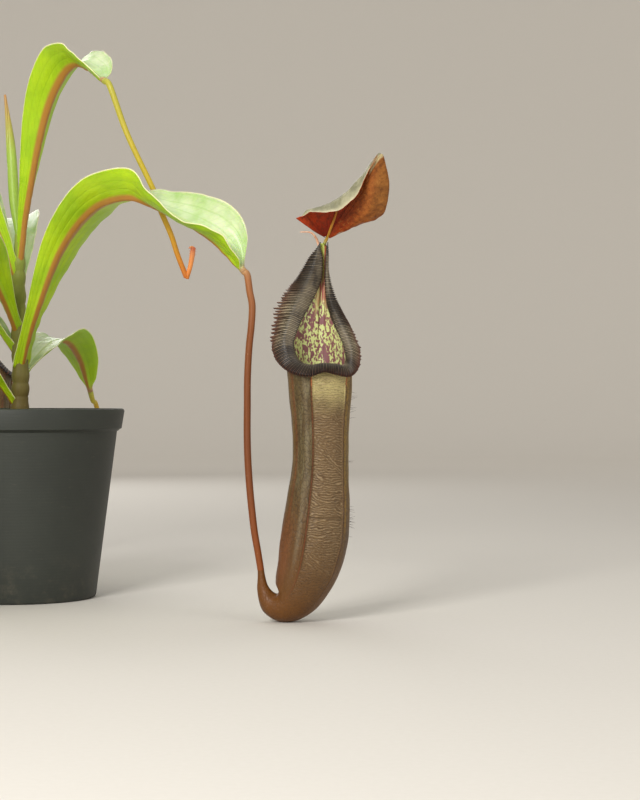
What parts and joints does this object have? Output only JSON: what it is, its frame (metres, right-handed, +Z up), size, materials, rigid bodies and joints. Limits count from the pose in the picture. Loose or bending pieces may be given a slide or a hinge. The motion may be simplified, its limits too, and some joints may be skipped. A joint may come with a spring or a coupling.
{
  "type": "potted nepenthes hybrid",
  "caption": "Tropical pitcher plant in a plain round nursery pot: strap leaves with tendrils, long tubular hanging pitchers with ribbed lip and folded lid, young curled buds.",
  "frame": {"origin": "centre of the pot's flat underside", "axes": "+Z up along the pot's axis; -Y towards the viewer who faces the mouth of the largest pitcher; +X towards the side of the pot where that pitcher hangs"},
  "size_m": [0.532, 0.4959, 0.3546],
  "materials": {
    "pot": "matte charcoal",
    "growing_medium": "rough bark, moss and white grit",
    "stem": "matte, ringed by old leaf scars",
    "leaf": "waxy, pale above and yellow green below",
    "tendril": "smooth red brown",
    "young_tendril": "smooth olive yellow",
    "pitcher_cup": "semi matte, netted with fine dark veins; pale inside with maroon blotches",
    "pitcher_lip": "glossy, finely ribbed",
    "pitcher_lid": "semi matte, veined",
    "spur": "smooth",
    "bud": "finely hairy",
    "young_leaf": "waxy"
  },
  "bodies": {
    "root": {"pot": "pot", "growing_medium": "growing_medium", "stem": "stem", "leaf_a": "leaf", "tendril_a": "tendril", "pitcher_a_lip": "pitcher_lip", "pitcher_a_cup": "pitcher_cup", "pitcher_a_lid": "pitcher_lid", "pitcher_a_spur": "spur", "leaf_b": "leaf", "leaf_c": "leaf", "leaf_d": "leaf", "leaf_e": "leaf", "leaf_f": "leaf", "leaf_g": "leaf", "leaf_h": "leaf", "leaf_i": "leaf", "pitcher_c_lip": "pitcher_lip", "pitcher_c_cup": "pitcher_cup", "pitcher_c_lid": "pitcher_lid", "pitcher_c_spur": "spur", "tendril_c": "tendril", "pitcher_d_lip": "pitcher_lip", "pitcher_d_cup": "pitcher_cup", "pitcher_d_lid": "pitcher_lid", "pitcher_d_spur": "spur", "tendril_d": "tendril", "pitcher_e_lip": "pitcher_lip", "pitcher_e_cup": "pitcher_cup", "pitcher_e_lid": "pitcher_lid", "pitcher_e_spur": "spur", "tendril_e": "tendril", "tendril_b": "young_tendril", "bud_b": "bud", "tendril_g": "young_tendril", "bud_g": "bud", "tendril_h": "young_tendril", "bud_h": "bud", "tendril_f": "young_tendril", "bud_f": "bud", "tendril_i": "young_tendril", "bud_i": "bud", "spear": "young_leaf"}
  },
  "joints": []
}
